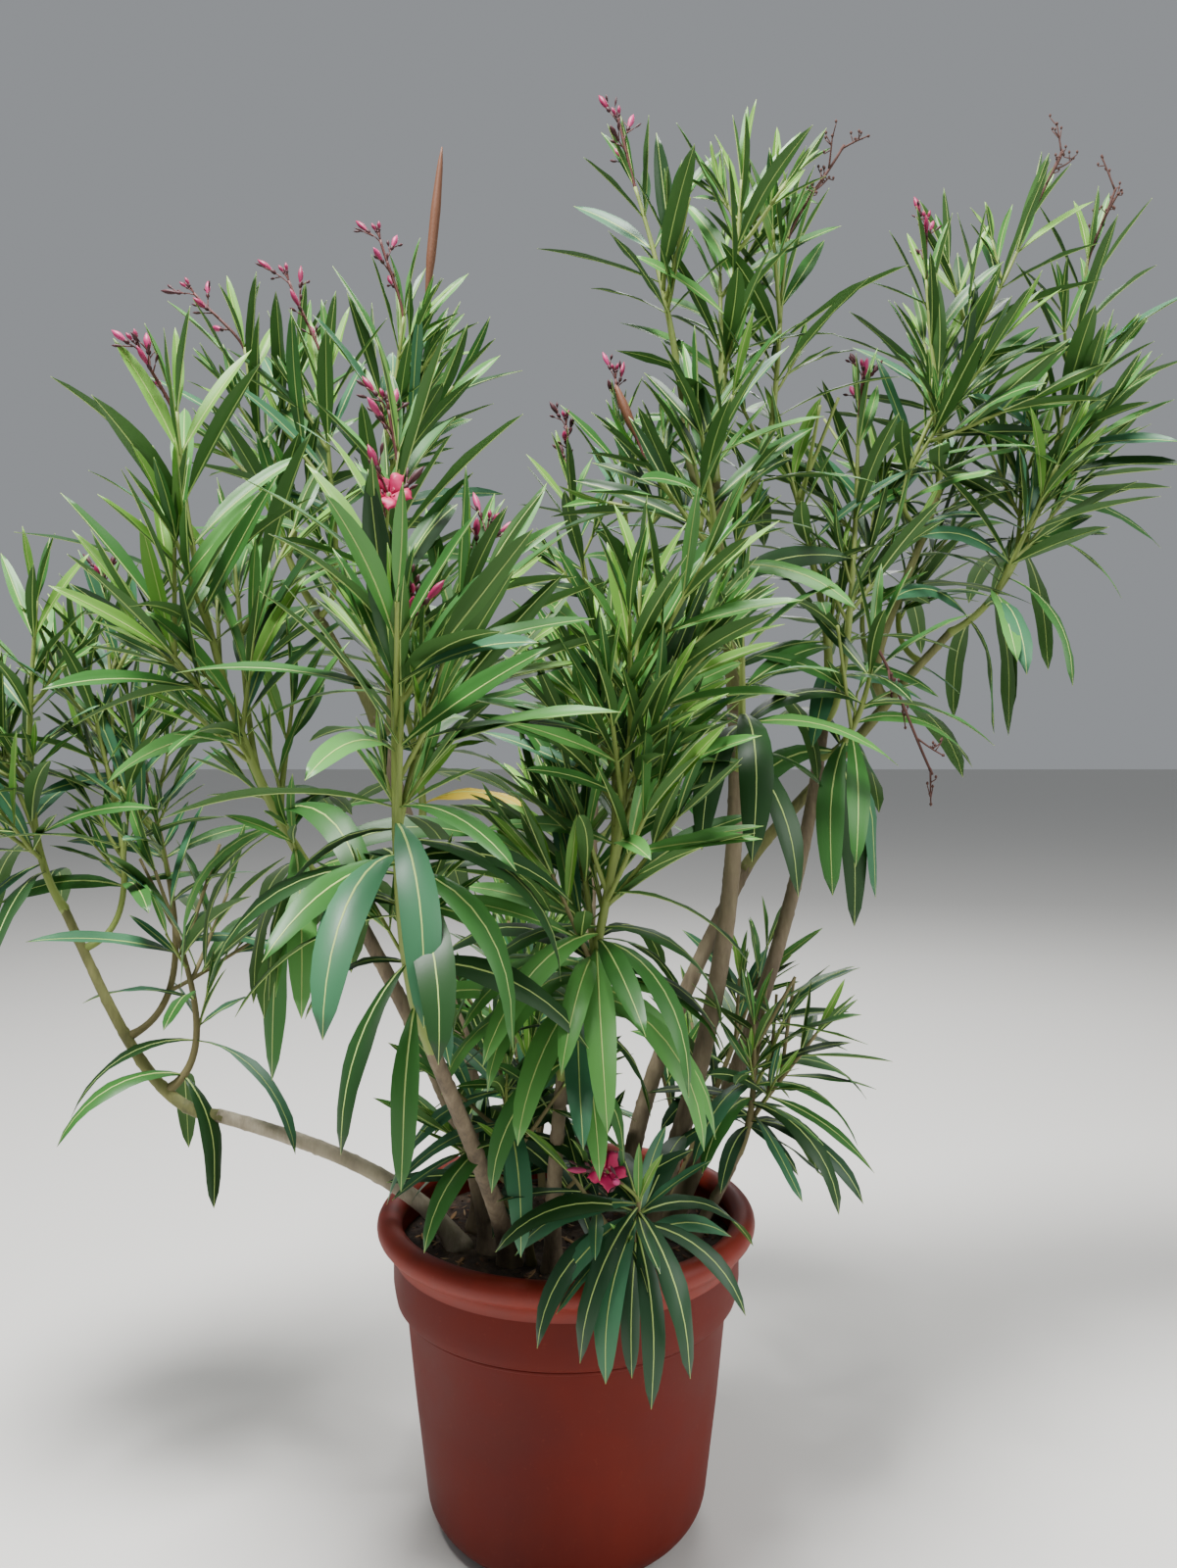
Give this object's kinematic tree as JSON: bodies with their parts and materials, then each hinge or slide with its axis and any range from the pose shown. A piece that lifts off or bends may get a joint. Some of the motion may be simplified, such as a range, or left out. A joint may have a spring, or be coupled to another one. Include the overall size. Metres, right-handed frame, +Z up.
{
  "type": "potted oleander",
  "caption": "Many-stemmed oleander shrub with narrow leaves, bud heads and seed pods, in a round rimmed patio tub filled with soil.",
  "frame": {"origin": "middle of the tub's flat underside, on the ground it stands on", "axes": "+Z up along the tub's axis; +X to the right and +Y away from a viewer in front"},
  "size_m": [1.8095, 1.0517, 1.9807],
  "materials": {
    "pot": "matte",
    "soil": "matte",
    "bark": "matte",
    "green_bark": "matte",
    "foliage": "satin"
  },
  "bodies": {
    "root": {"pot": "pot", "soil": "soil", "cane_left_low": "bark", "cane_left_rise": "green_bark", "cane_left_diagonal": "bark", "cane_left_front": "bark", "cane_left_back": "bark", "cane_centre": "bark", "cane_right_tall": "bark", "cane_right_middle": "bark", "cane_right_back": "bark", "cane_back": "bark", "cane_right_low": "bark", "bough_left_back": "green_bark", "bough_left_inner": "green_bark", "bough_right_tall": "green_bark", "bough_right_tall_left": "green_bark", "bough_right_back": "green_bark", "bough_right_outer": "green_bark", "bough_right_upper": "green_bark", "foliage_left_low_outer": "foliage", "foliage_left_low_middle": "foliage", "foliage_left_low_inner": "foliage", "foliage_left_low_skirt": "foliage", "foliage_left_diagonal": "foliage", "foliage_left_front": "foliage", "foliage_left_back_outer": "foliage", "foliage_left_back_middle": "foliage", "foliage_left_back_top": "foliage", "foliage_left_back_low": "foliage", "foliage_centre": "foliage", "foliage_right_tall_top": "foliage", "foliage_right_tall_left": "foliage", "foliage_right_tall_right": "foliage", "foliage_right_tall_front": "foliage", "foliage_right_tall_skirt": "foliage", "foliage_right_middle_left": "foliage", "foliage_right_middle_top": "foliage", "foliage_right_middle_skirt": "foliage", "foliage_right_upper_left": "foliage", "foliage_right_upper_right": "foliage", "foliage_right_upper_back": "foliage", "foliage_right_outer": "foliage", "foliage_right_outer_back": "foliage", "foliage_back_left": "foliage", "foliage_back_right": "foliage", "foliage_back_outer": "foliage", "foliage_right_low": "foliage", "foliage_right_low_back": "foliage", "foliage_front_low": "foliage", "foliage_low_left": "foliage", "foliage_low_middle": "foliage", "foliage_low_back": "foliage"}
  },
  "joints": []
}
